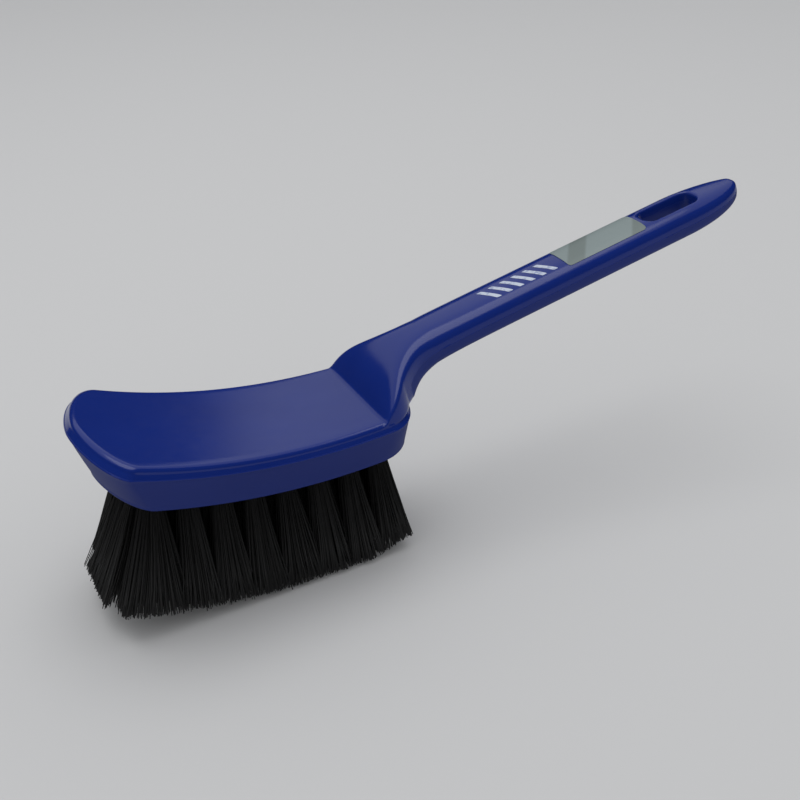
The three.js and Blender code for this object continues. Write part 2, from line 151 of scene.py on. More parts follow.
def head_skin():
    """Closed skin of the head: each column of the profile runs from its own front end to its own
    rear end, its half-width rounded off at both, and the top face lifts to the front by a square."""
    half = head_profile()
    mirrored = half[:, -2:0:-1]
    depth, front, rear, side, share, lift = np.concatenate([half, mirrored], axis=1)
    share = share * np.where(np.arange(len(share)) < half.shape[1], 1, -1)
    station = (1 - np.cos(np.linspace(0, math.pi, HEAD_STATIONS + 1)))[:, None] / 2
    last = HEAD_LENGTH - rear
    along = front + (last - front) * station
    width = head_half_width(along) - side
    width = width * end_share(along - front, FRONT_END_ROUND, FRONT_END_FULLNESS)
    width = width * end_share(last - along, REAR_END_ROUND, REAR_END_FULLNESS)
    raised = lift * FRONT_LIFT * np.clip(1 - along / FRONT_LIFT_LENGTH, 0, 1) ** 2
    return head_point(along, width * share, depth - raised)


# The neck and handle have a frame of their own, turned up from the rear of the head's top face.
HANDLE_LENGTH = 146.0
HANDLE_WIDTH = 19.9
HANDLE_THICKNESS = 12.0
HANDLE_FULLNESS = 2.9
HANDLE_RISE = 9.5
HANDLE_ANGLE = (HEAD_LENGTH - BALANCE_POINT) / TOP_FACE_RADIUS + math.radians(5.8)
HANDLE_COS = math.cos(HANDLE_ANGLE)
HANDLE_SIN = math.sin(HANDLE_ANGLE)
HANDLE_ORIGIN = head_point(HEAD_LENGTH, 0.0, -HANDLE_RISE)
HANDLE_END_ROUND = 27.0
HANDLE_END_THICKNESS = 7.0
HANDLE_END_DROP = 1.8
HANDLE_DROP_POWER = 1.5
HANDLE_TIP_ROUND = 2.4
RAMP_START = 17.0
RAMP_LENGTH = 38.0
RAMP_POWER = 3.0
RAMP_FOOT_FILLET = 1.6
RAMP_REACH = 3.0
RAMP_TOE = 1.2
RAMP_TOE_SINK = 0.012
RAMP_TOE_FALL = 0.3
NECK_LENGTH = 30.0
NECK_POWER = 3.2
NECK_SIDE_MARGIN = 0.9
NECK_FULLNESS = 7.4
NECK_FOOT_MARGIN = 1.2
NECK_HEEL = 5.6
NECK_HEEL_LENGTH = 7.4
GRIP_START = 40.0
RAMP_STATIONS = 120
NECK_STATIONS = 24
GRIP_STATIONS = 50
END_STATIONS = 50
HALF_RING_POINTS = 36
SEAM_SHARES = np.array([-0.03, -0.014, 0.0, 0.014, 0.03])
SEAM_RIDGE = np.array([0, 1, 1, 1, 0])
RIDGE_FADE_START = 5.0
RIDGE_FADE_LENGTH = 20.0
RIDGE_FADE_WIDTH = 3.0


def handle_to_row(x, across, up):
    """Place in the handle's own frame, turned up by the handle's angle about its origin."""
    row_x = HANDLE_ORIGIN[0] + HANDLE_COS * x - HANDLE_SIN * up
    row_z = HANDLE_ORIGIN[2] + HANDLE_SIN * x + HANDLE_COS * up
    return np.stack(np.broadcast_arrays(row_x, across, row_z), -1)


def head_top_under_handle(x):
    """Height of the head's top face in the handle's frame: the lower half of its circle."""
    dx = ARC_CENTRE_X - HANDLE_ORIGIN[0]
    dz = ARC_CENTRE_Z - HANDLE_ORIGIN[2]
    centre_x = HANDLE_COS * dx + HANDLE_SIN * dz
    centre_up = HANDLE_COS * dz - HANDLE_SIN * dx
    return centre_up - np.sqrt(TOP_FACE_RADIUS ** 2 - (x - centre_x) ** 2)


def handle_section(x):
    """Half-width, top, underside and fullness of the section at x. The top climbs the ramp by a
    power curve that runs into the head's face through a fillet, a smooth maximum of the two, and
    drops a little over the rounded end."""
    to_end = np.clip((x - HANDLE_LENGTH + HANDLE_END_ROUND) / HANDLE_END_ROUND, 0, 1)
    end = np.sqrt(1 - to_end * to_end)
    neck = np.clip((x + RAMP_START) / NECK_LENGTH, 0, 1)
    ramp = 1 - np.clip((x + RAMP_START) / RAMP_LENGTH, 0, 1)
    ramp_top = HANDLE_THICKNESS / 2 - (HANDLE_THICKNESS / 2 + HANDLE_RISE) * ramp ** RAMP_POWER
    before = np.clip(-RAMP_START - RAMP_TOE - x, 0, None)
    face = head_top_under_handle(np.minimum(x, 0)) - RAMP_TOE_SINK - RAMP_TOE_FALL * before ** 2
    near = np.clip(RAMP_FOOT_FILLET - np.abs(ramp_top - face), 0, None)
    top = np.maximum(ramp_top, face) + near ** 2 / (4 * RAMP_FOOT_FILLET)
    thickness = HANDLE_END_THICKNESS + (HANDLE_THICKNESS - HANDLE_END_THICKNESS) * end
    heel = NECK_HEEL * np.exp(-np.maximum(x, 0) / NECK_HEEL_LENGTH)
    bottom = np.minimum(HANDLE_THICKNESS / 2 - thickness - heel, ramp_top - RAMP_REACH)
    tip = np.clip((x - HANDLE_LENGTH + HANDLE_TIP_ROUND) / HANDLE_TIP_ROUND, 0, 1)
    drawn_in = HANDLE_TIP_ROUND * (1 - np.sqrt(1 - tip * tip))
    top = top - HANDLE_END_DROP * to_end ** HANDLE_DROP_POWER - drawn_in
    neck_half = head_half_width(HEAD_LENGTH - RAMP_START) - NECK_SIDE_MARGIN
    half = HANDLE_WIDTH / 2 + (neck_half - HANDLE_WIDTH / 2) * (1 - neck ** 2) ** NECK_POWER
    fullness = NECK_FULLNESS + (HANDLE_FULLNESS - NECK_FULLNESS) * neck
    return half * end, top, bottom + drawn_in, fullness


def handle_skin():
    """Closed skin of the neck and handle: a superellipse ring at each station, whose points near
    mid-height are close together and stand out by the parting ridge. Over the head its sides spread
    downwards, in proportion to the depth, from the neck's own width to the head's rear outline."""
    ramp_end = RAMP_LENGTH - RAMP_START
    end_start = HANDLE_LENGTH - HANDLE_END_ROUND
    end_turn = np.linspace(0, math.pi / 2, END_STATIONS)[1:]
    x = np.concatenate([
        np.linspace(-RAMP_START - RAMP_REACH, ramp_end, RAMP_STATIONS),
        np.linspace(ramp_end, GRIP_START, NECK_STATIONS)[1:],
        np.linspace(GRIP_START, end_start, GRIP_STATIONS)[1:],
        HANDLE_LENGTH - HANDLE_END_ROUND * (1 - np.sin(end_turn)),
    ])[:, None]
    half, top, bottom, fullness = handle_section(x)
    seam_angle = np.sign(SEAM_SHARES) * np.arcsin(np.abs(SEAM_SHARES) ** (fullness / 2))
    half_ring = np.linspace(0, math.pi, HALF_RING_POINTS + 2)[1:-1]
    half_ring = np.broadcast_to(half_ring, (len(x), HALF_RING_POINTS))
    angle = np.concatenate([seam_angle, half_ring, math.pi + seam_angle, math.pi + half_ring], axis=1)
    c = np.cos(angle)
    s = np.sin(angle)
    ridge = np.tile(np.concatenate([SEAM_RIDGE, np.zeros(HALF_RING_POINTS)]), 2) * PARTING_RIDGE
    ridge = ridge * np.clip(half / RIDGE_FADE_WIDTH, 0, 1)
    ridge = ridge * np.clip((x - RIDGE_FADE_START) / RIDGE_FADE_LENGTH, 0, 1)
    up = (top + bottom) / 2 + (top - bottom) / 2 * np.sign(s) * np.abs(s) ** (2 / fullness)
    along = np.minimum(HEAD_LENGTH + x, HEAD_LENGTH)
    rear_end = end_share(HEAD_LENGTH - along, REAR_END_ROUND, REAR_END_FULLNESS)
    foot = np.maximum(half, head_half_width(along) * rear_end - NECK_FOOT_MARGIN)
    height = np.clip((up + HANDLE_RISE) / (top + HANDLE_RISE), 0, 1)
    across = np.sign(c) * ((foot + (half - foot) * height) * np.abs(c) ** (2 / fullness) + ridge)
    return handle_to_row(x, across, up)


def handle_face(x, across, side):
    """Height of the handle's top (side 1) or underside (side -1) at a place across it."""
    half, top, bottom, fullness = handle_section(x)
    crown = (1 - np.clip(np.abs(across) / half, 0, 1) ** fullness) ** (1 / fullness)
    return (top + bottom) / 2 + side * (top - bottom) / 2 * crown


SLOT_LENGTH = 22.5
SLOT_WIDTH = 9.5
SLOT_CORNER = 3.5
SLOT_CORNER_POINTS = 13
SLOT_FROM_END = 18.5
SLOT_MOUTH_ROUND = 1.1
SLOT_MOUTH_POINTS = 8
SLOT_LIP_DEGREES = 22
SLOT_LIP_REACH = 1.3
SLOT_LIP_RISE = 0.52
SLOT_CORE_RISE = 4.0


def slot_core():
    """Rounded-rectangle outline carried through the handle, widened to a quarter round at each
    mouth and then straight past the surface. Each ring is the outline grown by an offset, at a
    depth under the local surface."""
    turn = np.linspace(0, math.pi / 2, SLOT_CORNER_POINTS)
    angle = np.concatenate([turn + k * math.pi / 2 for k in range(4)])
    sign_x = np.repeat([1, -1, -1, 1], SLOT_CORNER_POINTS)
    sign_y = np.repeat([1, 1, -1, -1], SLOT_CORNER_POINTS)
    mouth = np.radians(np.linspace(SLOT_LIP_DEGREES, 90, SLOT_MOUTH_POINTS))
    offset = SLOT_MOUTH_ROUND * (1 - np.sin(mouth))
    depth = SLOT_MOUTH_ROUND * (1 - np.cos(mouth))
    past = [offset[0] + SLOT_LIP_REACH, offset[0] + SLOT_LIP_REACH]
    above = [-SLOT_CORE_RISE, depth[0] - SLOT_LIP_RISE]
    offset = np.concatenate([past, offset, offset[::-1], past])[:, None]
    depth = np.concatenate([above, depth, depth[::-1], above[::-1]])[:, None]
    centre = HANDLE_LENGTH - SLOT_FROM_END - SLOT_LENGTH / 2
    x = centre + sign_x * (SLOT_LENGTH / 2 - SLOT_CORNER) + (SLOT_CORNER + offset) * np.cos(angle)
    y = sign_y * (SLOT_WIDTH / 2 - SLOT_CORNER) + (SLOT_CORNER + offset) * np.sin(angle)
    upper = np.arange(len(offset))[:, None] < len(offset) / 2
    up = np.where(upper, handle_face(x, y, 1) - depth, handle_face(x, y, -1) + depth)
    return handle_to_row(x, y, up)


# The tuft holes stand in four rows, fanned along the head and splayed across it, and the tufts and
# their wires take the same places.
ROW_TUFTS = np.array([8, 9, 9, 8])
FIRST_TUFT = 24.0
LAST_TUFT = 98.2
REAR_ROW_INSET = 1.8
FRONT_SIDE_MARGIN = 15.3
REAR_SIDE_MARGIN = 11.4
SIDE_SPLAY = math.radians(4.5)
FRONT_TILT = math.radians(4)
REAR_TILT = math.radians(-5)
FRONT_END_LEAN = math.radians(14)
FRONT_CORNER_LEAN = math.radians(8)
REAR_END_LEAN = math.radians(3)
HOLE_RADIUS = 3.0
HOLE_DEPTH = 12.4
HOLE_BEVEL = 0.3
HOLE_SIDES = 20
DRILL_OVERRUN = 1.0
DRILL_POINT_LENGTH = 1.2
DRILL_POINT_RADIUS = 0.4


def outer_row(along):
    """How far out the outer rows stand: the half-width less a margin that narrows to the rear."""
    margin = FRONT_SIDE_MARGIN + (REAR_SIDE_MARGIN - FRONT_SIDE_MARGIN) * along / HEAD_LENGTH
    return head_half_width(along) - margin


def tuft_frames():
    """Row, root, axes, end reach and tip spread of every tuft. Tufts are evenly spaced in their row,
    turn about Y from the front tilt to the rear tilt and about their own X with the row's share of
    the splay. The axes' columns are x, y and z. The end reach is how far the tips of a row's first
    and last tuft lean outwards, and the spread is half of what a tuft covers along and across."""
    row = np.repeat(np.arange(len(ROW_TUFTS)), ROW_TUFTS)
    place = np.concatenate([np.arange(count) for count in ROW_TUFTS])
    row_gaps = len(ROW_TUFTS) - 1
    share = 2 * row / row_gaps - 1
    last = ROW_TUFTS[row] - 1
    pitch = (LAST_TUFT - REAR_ROW_INSET * share ** 2 - FIRST_TUFT) / last
    along = FIRST_TUFT + pitch * place
    fan = (FRONT_TILT - REAR_TILT) / (LAST_TUFT - FIRST_TUFT)
    turn = FRONT_TILT - fan * (along - FIRST_TUFT)
    splay = SIDE_SPLAY * share
    ct, st, cs, ss = np.cos(turn), np.sin(turn), np.cos(splay), np.sin(splay)
    zero = np.zeros_like(ct)
    axes = np.stack([
        np.stack([ct, zero, -st], -1),
        np.stack([st * ss, cs, ct * ss], -1),
        np.stack([st * cs, -ss, ct * cs], -1),
    ], -1)
    front_lean = FRONT_END_LEAN + (FRONT_CORNER_LEAN - FRONT_END_LEAN) * share ** 2
    lean = np.where(place == 0, front_lean, 0) - np.where(place == last, REAR_END_LEAN, 0)
    reach = BRISTLE_LENGTH * np.tan(lean)
    half_along = (pitch + BRISTLE_LENGTH * np.tan(fan * pitch)) / 2
    half_across = (outer_row(along) + BRISTLE_LENGTH * math.tan(SIDE_SPLAY)) / row_gaps
    root = head_point(along, share * outer_row(along), HEAD_THICKNESS)
    return row, root, axes, reach, np.stack([half_along, half_across], -1)


def hole_drills():
    """One drilled hole per tuft: rings of a cylinder in the tuft's own axes, with a shallow cone
    at the mouth and another from the drill's point at the floor."""
    rings = np.array([
        (HOLE_RADIUS + HOLE_BEVEL + DRILL_OVERRUN, -DRILL_OVERRUN),
        (HOLE_RADIUS + HOLE_BEVEL, 0.0),
        (HOLE_RADIUS, HOLE_BEVEL),
        (HOLE_RADIUS, HOLE_DEPTH - DRILL_POINT_LENGTH),
        (DRILL_POINT_RADIUS, HOLE_DEPTH),
    ])
    radius = rings[:, :1]
    turn = np.linspace(0, 2 * math.pi, HOLE_SIDES + 1)[:-1]
    ring = np.stack(np.broadcast_arrays(radius * np.cos(turn), radius * np.sin(turn), rings[:, 1:]), -1)
    return tuft_root[:, None, None] + np.einsum("tij,rcj->trci", tuft_axes, ring)


tuft_row, tuft_root, tuft_axes, tuft_reach, tuft_spread = tuft_frames()

# The frame's origin is under the middle of the whole brush, so one wire's box gives the shift.
ANCHOR_HEIGHT_IN_HOLE = 9.2
wire_low, wire_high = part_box("anchor_wire_1_1")
wire_centre = tuft_root[0] + tuft_axes[0] @ np.array([0, 0, ANCHOR_HEIGHT_IN_HOLE])
FRAME_SHIFT = np.array([(wire_low.x + wire_high.x) / 2 / MM - wire_centre[0], 0, 0])


def closed_rings(rows, columns):
    """Faces between rings of points, each ring closed on itself."""
    row = np.arange(rows - 1)[:, None] * columns
    column = np.arange(columns)[None]
    following = (column + 1) % columns
    above = row + columns
    faces = np.broadcast_arrays(row + column, above + column, above + following, row + following)
    return np.stack(faces, -1).reshape(-1, 4)


def capped_tubes(count, rows, columns):
    """Faces of separate tubes, each a stack of closed rings with a cap at both ends. The last ring
    is taken backwards, so that its cap faces outwards too."""
    start = np.arange(count)[:, None, None] * rows * columns
    sides = (closed_rings(rows, columns)[None] + start).reshape(-1, 4)
    caps = np.stack([np.arange(columns), rows * columns - 1 - np.arange(columns)])
    caps = (caps[None] + start).reshape(-1, columns)
    return sides.tolist() + caps.tolist()


SEAM_WELD = 1e-7
CUT_WELD = 1e-6


def new_piece(name, points, faces):
    """Mesh object at the origin with its place in its mesh, in metres. Its doubled points are
    merged, which closes seams and poles, and its faces are turned outwards."""
    mesh = bpy.data.meshes.new(name)
    points = points.reshape(-1, 3) + FRAME_SHIFT
    mesh.from_pydata((points * MM).tolist(), [], faces)
    edit = bmesh.new()
    edit.from_mesh(mesh)
    bmesh.ops.remove_doubles(edit, verts=edit.verts, dist=SEAM_WELD)
    bmesh.ops.recalc_face_normals(edit, faces=edit.faces)
    edit.to_mesh(mesh)
    edit.free()
    piece = bpy.data.objects.new(name, mesh)
    bpy.context.scene.collection.objects.link(piece)
    return piece


def combine(piece, tool, operation):
    """Join the tool to the piece or cut it away, and remove the tool."""
    modifier = piece.modifiers.new("combine", "BOOLEAN")
    modifier.operation = operation
    modifier.solver = "MANIFOLD"
    modifier.object = tool
    graph = bpy.context.evaluated_depsgraph_get()
    mesh = bpy.data.meshes.new_from_object(piece.evaluated_get(graph))
    piece.modifiers.clear()
    piece.data = mesh
    bpy.data.objects.remove(tool)


def shade_by_angle(piece, degrees):
    """Smooth faces, with an edge left sharp where its two faces turn by more than the angle."""
    edit = bmesh.new()
    edit.from_mesh(piece.data)
    bmesh.ops.remove_doubles(edit, verts=edit.verts, dist=CUT_WELD)
    bmesh.ops.dissolve_degenerate(edit, edges=edit.edges, dist=CUT_WELD)
    for face in edit.faces:
        face.smooth = True
    for edge in edit.edges:
        edge.smooth = edge.calc_face_angle(0) < math.radians(degrees)
    edit.to_mesh(piece.data)
    edit.free()


BLOCK_SHARP_DEGREES = 32
head = head_skin()
handle_block = new_piece("moulded_handle_block", head, closed_rings(*head.shape[:2]).tolist())
handle = handle_skin()
foot_cap = list(range(handle.shape[1]))
handle_faces = closed_rings(*handle.shape[:2]).tolist() + [foot_cap]
combine(handle_block, new_piece("neck_and_handle", handle, handle_faces), "UNION")
slot = slot_core()
combine(handle_block, new_piece("slot_core", slot, capped_tubes(1, *slot.shape[:2])), "DIFFERENCE")
holes = hole_drills()
combine(handle_block, new_piece("hole_drills", holes, capped_tubes(*holes.shape[:3])), "DIFFERENCE")
shade_by_angle(handle_block, BLOCK_SHARP_DEGREES)


def below_parting_line(points):
    """1 for a point of the lower mould half, else 0. On the head it lies deeper than the rim, by its
    distance from the arc's centre, and past the head it lies under the middle of the handle's section."""
    x = points[:, 0] - ARC_CENTRE_X
    z = points[:, 2] - ARC_CENTRE_Z
    on_head = BALANCE_POINT + TOP_FACE_RADIUS * np.arctan2(x, -z) < HEAD_LENGTH
    deep = np.hypot(x, z) - TOP_FACE_RADIUS > RIM_HEIGHT
    x = points[:, 0] - HANDLE_ORIGIN[0]
    z = points[:, 2] - HANDLE_ORIGIN[2]
    station = np.clip(HANDLE_COS * x + HANDLE_SIN * z, -RAMP_START, HANDLE_LENGTH)
    _, top, bottom, _ = handle_section(station)
    under = HANDLE_COS * z - HANDLE_SIN * x < (top + bottom) / 2
    return np.where(on_head, deep, under).astype(float)


block_points = np.empty(len(handle_block.data.vertices) * 3)
handle_block.data.vertices.foreach_get("co", block_points)
block_points = block_points.reshape(-1, 3) / MM - FRAME_SHIFT
lower_half = handle_block.data.attributes.new("lower_mould_half", "FLOAT", "POINT")
lower_half.data.foreach_set("value", below_parting_line(block_points))


def linear(code):
    """Linear colour of an sRGB hex value."""
    value = np.array([int(code[i:i + 2], 16) for i in (1, 3, 5)]) / 255
    value = np.where(value <= 0.04045, value / 12.92, ((value + 0.055) / 1.055) ** 2.4)
    return (*value, 1.0)


def add_node(tree, kind, inputs=None, **settings):
    """One node with its own settings. An input is a value, or another node's output to link. The
    inputs of a Mix node go by number: 0 the share, 2 and 3 its two values, 6 and 7 its two colours."""
    node = tree.nodes.new(kind)
    for name, value in settings.items():
        setattr(node, name, value)
    for name, value in (inputs or {}).items():
        if isinstance(value, bpy.types.NodeSocket):
            tree.links.new(value, node.inputs[name])
        else:
            node.inputs[name].default_value = value
    return node


def new_material(name):
    """Empty node material and its tree."""
    material = bpy.data.materials.new(name)
    material.use_nodes = True
    material.node_tree.nodes.clear()
    return material, material.node_tree


# Injection-moulded polypropylene, dyed through: glossy but a little soft, with faint clouding in
# the dye, the orange peel of the mould wall and rubbed streaks along the brush from handling. The
# upper mould half is polished and the lower one is left duller.
DYE_CLOUD = 30.0
RUB_WIDTH = 1.2
LOWER_HALF_ROUGHNESS = 0.64
polypropylene, tree = new_material("moulded_blue_polypropylene")
place = add_node(tree, "ShaderNodeTexCoord").outputs["Object"]
cloud = add_node(tree, "ShaderNodeTexNoise", {
    "Vector": place, "Scale": 1 / (DYE_CLOUD * MM), "Detail": 3.0,
})
dye = add_node(tree, "ShaderNodeMix", {
    0: cloud.outputs["Fac"], 6: linear("#0b2068"), 7: linear("#0f2774"),
}, data_type="RGBA")
along_brush = add_node(tree, "ShaderNodeMapping", {"Vector": place, "Scale": (0.08, 1.0, 1.0)})
rub = add_node(tree, "ShaderNodeTexNoise", {
    "Vector": along_brush.outputs["Vector"], "Scale": 1 / (RUB_WIDTH * MM), "Detail": 4.0, "Roughness": 0.6,
})
polish = add_node(tree, "ShaderNodeMapRange", {
    "Value": rub.outputs["Fac"], "From Min": 0.3, "From Max": 0.7, "To Min": 0.13, "To Max": 0.19,
})
half_of_mould = add_node(tree, "ShaderNodeAttribute", attribute_name="lower_mould_half")
gloss = add_node(tree, "ShaderNodeMix", {
    0: half_of_mould.outputs["Fac"], 2: polish.outputs["Result"], 3: LOWER_HALF_ROUGHNESS,
})
# Real mould grain is finer than a pixel of the render, so this peel is drawn at 1.6 mm.
PEEL_SIZE = 1.6
peel = add_node(tree, "ShaderNodeTexNoise", {"Vector": place, "Scale": 1 / (PEEL_SIZE * MM), "Detail": 2.0})
skin = add_node(tree, "ShaderNodeBump", {
    "Height": peel.outputs["Fac"], "Strength": 0.25, "Distance": 0.02 * MM,
})
shader = add_node(tree, "ShaderNodeBsdfPrincipled", {
    "Base Color": dye.outputs[2], "Roughness": gloss.outputs[0], "IOR": 1.4,
    "Normal": skin.outputs["Normal"],
})
add_node(tree, "ShaderNodeOutputMaterial", {"Surface": shader.outputs["BSDF"]})
handle_block.data.materials.clear()
handle_block.data.materials.append(polypropylene)
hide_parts("handle_block")
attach(handle_block, "root")

# Bristle tufts: bundles of stiff black polypropylene filament, folded double and driven into the
# holes, then sheared to one arc. The filaments splay from the hole's mouth until they meet the
# next tuft's, each a little bent, and the shears leave their ends slightly uneven.
FILAMENTS = 230
MOST_AT_ROW_END = 2.4
FILAMENT_RADIUS = 0.21
FILAMENT_RADIUS_RANGE = (0.85, 1.12)
FILAMENT_STEPS = 5
FILAMENT_SIDES = 4
CUT_END_SIZE = 0.8
ROOT_HEIGHT = 5.0
ROOT_SPREAD = 2.55
ROOT_WANDER = 0.08
TIP_OVERLAP = 1.3
TIP_WANDER = 0.5
SQUARE_TIPS = 0.7
ROUND_TIPS = 0.1
BEND = 0.7
LATE_SPLAY = 0.25
UNEVEN_TRIM = 1.6
UNEVEN_TRIM_SHAPE = (1.2, 3.0)
FRONT_HOLD = 0.63
FRONT_CORNER_HOLD = 0.75
REAR_HOLD = 0.45
SIDE_HOLD = 0.85
HEEL_ROUND = 3.0
HEEL_START = 9.4
HEEL_LENGTH = 17.0
HEEL_POWER = 1.3
FLANK_ROUND = 1.6
FLANK_START = 14.0
FLANK_WIDTH = 8.0
OUTER_ROW_SIDES = {0: -1, 3: 1}
shears = np.random.default_rng(11)


def filament_paths(root, axes, reach, spread, side):
    """Middle lines of one row's filaments. Roots are a sunflower spiral in the tuft's own axes. Tips
    are the same spiral pushed out to a soft square, round at the outer rows' ends, stretched over the
    tuft's spread and its neighbours', moved by the end reach and held back at the pad's sides. The way
    between eases outwards, a random bow is added as a half sine, and the line stops short where it
    meets the trim circle or the flat that the brush stands on, and shorter by a power curve at the
    heel and by a square at the sides. Returns each filament's axes too."""
    wide = np.stack([spread[:, 0] + np.abs(reach), spread[:, 1]], -1)
    counts = np.round(FILAMENTS * np.clip(wide[:, 0] / spread[:, 0], 1, MOST_AT_ROW_END)).astype(int)
    tuft = np.repeat(np.arange(len(root)), counts)
    order = np.concatenate([np.arange(count) for count in counts])
    radius = np.sqrt((order + 0.5) / counts[tuft])
    turn = order * math.pi * (3 - math.sqrt(5)) + shears.uniform(0, 2 * math.pi, len(root))[tuft]
    unit = np.stack([radius * np.cos(turn), radius * np.sin(turn)], -1)
    start = unit * ROOT_SPREAD + shears.normal(0, ROOT_WANDER, unit.shape)
    corner = np.where((reach[tuft] == 0) | (side == 0), SQUARE_TIPS, ROUND_TIPS)
    squared = unit / (np.maximum(np.abs(np.cos(turn)), np.abs(np.sin(turn))) ** corner)[:, None]
    front_hold = FRONT_CORNER_HOLD if side else FRONT_HOLD
    at_low = np.stack([reach > 0, np.full(len(root), side < 0)], -1)
    at_high = np.stack([reach < 0, np.full(len(root), side > 0)], -1)
    low_end = np.where(at_low, [front_hold, SIDE_HOLD], TIP_OVERLAP)
    high_end = np.where(at_high, [REAR_HOLD, SIDE_HOLD], TIP_OVERLAP)
    held = np.clip(squared * TIP_OVERLAP, -low_end[tuft], high_end[tuft])
    finish = held * wide[tuft] + shears.normal(0, TIP_WANDER, unit.shape)
    finish[:, 0] -= reach[tuft]
    axes = axes[tuft]
    low = np.concatenate([start, np.full((len(tuft), 1), ROOT_HEIGHT)], -1)
    high = np.concatenate([finish, np.full((len(tuft), 1), -BRISTLE_LENGTH)], -1)
    low = root[tuft] + np.einsum("fij,fj->fi", axes, low)
    step = root[tuft] + np.einsum("fij,fj->fi", axes, high) - low
    x = low[:, 0]
    z = low[:, 2] - TRIM_CENTRE_Z
    a = step[:, 0] ** 2 + step[:, 2] ** 2
    b = x * step[:, 0] + z * step[:, 2]
    c = x * x + z * z - TRIM_RADIUS ** 2
    to_arc = (-b + np.sqrt(b * b - a * c)) / a
    to_flat = -low[:, 2] / step[:, 2]
    full = np.minimum(to_arc, to_flat)
    tip = low + step * full[:, None]
    heel = HEEL_ROUND * np.clip((tip[:, 0] - HEEL_START) / HEEL_LENGTH, 0, 1) ** HEEL_POWER
    flank = FLANK_ROUND * np.clip((np.abs(tip[:, 1]) - FLANK_START) / FLANK_WIDTH, 0, 1) ** 2
    short = heel + flank + UNEVEN_TRIM * shears.beta(*UNEVEN_TRIM_SHAPE, len(tuft))
    step = step * (full - short / BRISTLE_LENGTH)[:, None]
    share = np.linspace(0, 1, FILAMENT_STEPS + 1)[:, None]
    eased = (1 - LATE_SPLAY) * share + LATE_SPLAY * share ** 2
    bow = np.einsum("fij,fj->fi", axes[:, :, :2], shears.normal(0, BEND, (len(tuft), 2)))
    bow = bow[:, None] * np.sin(math.pi * share) * share
    sideways = step - axes[:, :, 2] * np.sum(step * axes[:, :, 2], -1, keepdims=True)
    return low[:, None] + step[:, None] * share + sideways[:, None] * (eased - share) + bow, axes


def filament_tubes(root, axes, reach, spread, side):
    """Square tubes round the filaments' middle lines, in the tuft's own axes, each turned at random
    and drawn in at its cut end. Returns points per filament, step and side."""
    path, axes = filament_paths(root, axes, reach, spread, side)
    turn = shears.uniform(0, 2 * math.pi, (len(path), 1, 1))
    turn = turn + np.linspace(0, 2 * math.pi, FILAMENT_SIDES + 1)[:-1]
    radius = FILAMENT_RADIUS * shears.uniform(*FILAMENT_RADIUS_RANGE, (len(path), 1, 1))
    taper = np.ones(FILAMENT_STEPS + 1)
    taper[-1] = CUT_END_SIZE
    size = radius * taper[:, None]
    ring = np.stack([size * np.cos(turn), size * np.sin(turn)], -1)
    return path[:, :, None] + np.einsum("fij,fscj->fsci", axes[:, :, :2], ring)


# Extruded filament, dyed black through: a waxy dark skin that catches a thin sheen along its length, with
# painted shade that darkens it towards the roots under the head and leaves it greyer at the sheared end, and
# each filament a tone of its own.
filament_black, tree = new_material("extruded_black_filament")
share = add_node(tree, "ShaderNodeAttribute", attribute_name="along_filament").outputs["Fac"]
shade = add_node(tree, "ShaderNodeAttribute", attribute_name="filament_shade").outputs["Fac"]
# Painted shade: the colour darkens from the cut end to the root, where the head shades the filaments.
painted_root_shade = add_node(tree, "ShaderNodeMath", {0: share, 1: 1.6}, operation="POWER")
base = add_node(tree, "ShaderNodeMix", {
    0: painted_root_shade.outputs["Value"], 6: linear("#0d0d0d"), 7: linear("#303030"),
}, data_type="RGBA")
own = add_node(tree, "ShaderNodeMapRange", {"Value": shade, "To Min": 0.6, "To Max": 1.25})
tint = add_node(tree, "ShaderNodeHueSaturation", {"Color": base.outputs[2], "Value": own.outputs["Result"]})
wax = add_node(tree, "ShaderNodeMapRange", {"Value": shade, "To Min": 0.62, "To Max": 0.82})
shader = add_node(tree, "ShaderNodeBsdfPrincipled", {
    "Base Color": tint.outputs["Color"], "Roughness": wax.outputs["Result"], "IOR": 1.49,
    "Specular IOR Level": 0.2,
})
add_node(tree, "ShaderNodeOutputMaterial", {"Surface": shader.outputs["BSDF"]})

for row in range(len(ROW_TUFTS)):
    here = tuft_row == row
    side = OUTER_ROW_SIDES.get(row, 0)
    tubes = filament_tubes(tuft_root[here], tuft_axes[here], tuft_reach[here], tuft_spread[here], side)
    count, rings = tubes.shape[:2]
    points = tubes.reshape(-1, 3) + FRAME_SHIFT
    points[:, 2] = np.maximum(points[:, 2], 0)
    mesh = bpy.data.meshes.new(f"filament_row_{row + 1}")
    mesh.from_pydata((points * MM).tolist(), [], capped_tubes(*tubes.shape[:3]))
    steps = np.tile(np.repeat(np.linspace(0, 1, rings), FILAMENT_SIDES), count)
    mesh.attributes.new("along_filament", "FLOAT", "POINT").data.foreach_set("value", steps)
    shades = np.repeat(shears.uniform(0, 1, count), rings * FILAMENT_SIDES)
    mesh.attributes.new("filament_shade", "FLOAT", "POINT").data.foreach_set("value", shades)
    mesh.shade_smooth()
    mesh.materials.append(filament_black)
    tufts = bpy.data.objects.new(f"filament_row_{row + 1}", mesh)
    bpy.context.scene.collection.objects.link(tufts)
    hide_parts(f"tuft_row_{row + 1}")
    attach(tufts, "root")

